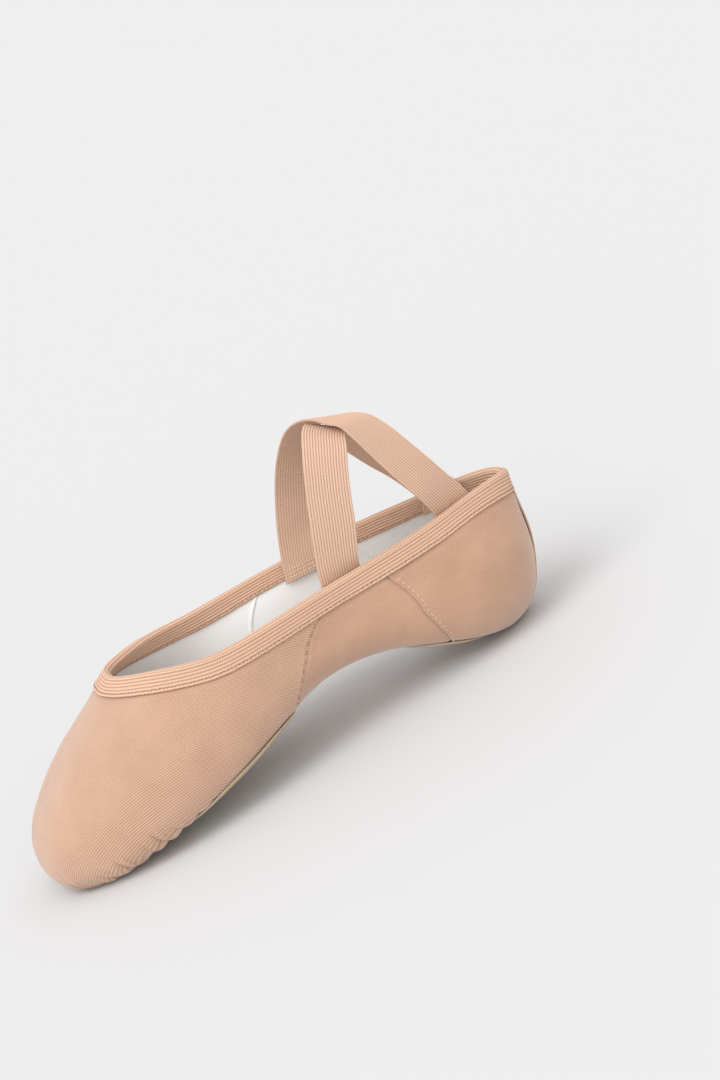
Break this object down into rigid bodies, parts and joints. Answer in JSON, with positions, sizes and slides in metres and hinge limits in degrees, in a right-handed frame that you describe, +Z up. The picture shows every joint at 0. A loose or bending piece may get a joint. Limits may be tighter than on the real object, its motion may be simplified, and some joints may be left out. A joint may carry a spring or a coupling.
{
  "type": "ballet slipper",
  "caption": "Soft split-sole ballet slipper with stretch canvas upper, suede forefoot and heel patches, elastic topline binding and crossed ankle elastics.",
  "frame": {"origin": "middle of the bounding box's underside, on the floor the slipper stands on", "axes": "+X from heel to toe, +Y towards the wearer's left (outer side of this left slipper), +Z up"},
  "size_m": [0.247, 0.078, 0.1216],
  "materials": {
    "canvas": "fine twill, matte",
    "lining": "smooth cotton, matte",
    "suede": "napped suede",
    "elastic": "ribbed knitted elastic",
    "thread": "twisted thread",
    "insole": "brushed cotton"
  },
  "bodies": {
    "forefoot": {"vamp_canvas": "canvas", "vamp_lining": "lining", "vamp_seam_thread_outer": "thread", "vamp_seam_thread_inner": "thread", "forefoot_sole_patch": "suede", "forefoot_patch_thread": "thread", "forefoot_insole": "insole", "arch_panel": "canvas", "arch_lining": "lining"},
    "heel": {"heel_panel_outer": "canvas", "heel_panel_inner": "canvas", "heel_lining": "lining", "topline_binding": "elastic", "back_seam_tape": "canvas", "heel_seam_thread_outer": "thread", "heel_seam_thread_inner": "thread", "heel_sole_patch": "suede", "heel_patch_thread": "thread", "heel_insole": "insole", "strap_outer_front": "elastic", "strap_inner_front": "elastic", "strap_tack_front_outer": "thread", "strap_tack_front_inner": "thread", "strap_tack_back_outer": "thread", "strap_tack_back_inner": "thread"}
  },
  "joints": [
    {"name": "arch_flex", "type": "hinge", "parent": "forefoot", "child": "heel", "pos_m": [-0.02729, -0.00099, 0.0336], "axis": [0, 1, 0], "range_deg": [-12, 38], "deforming": ["arch_panel", "arch_lining", "topline_binding", "strap_outer_front", "strap_inner_front"]}
  ]
}
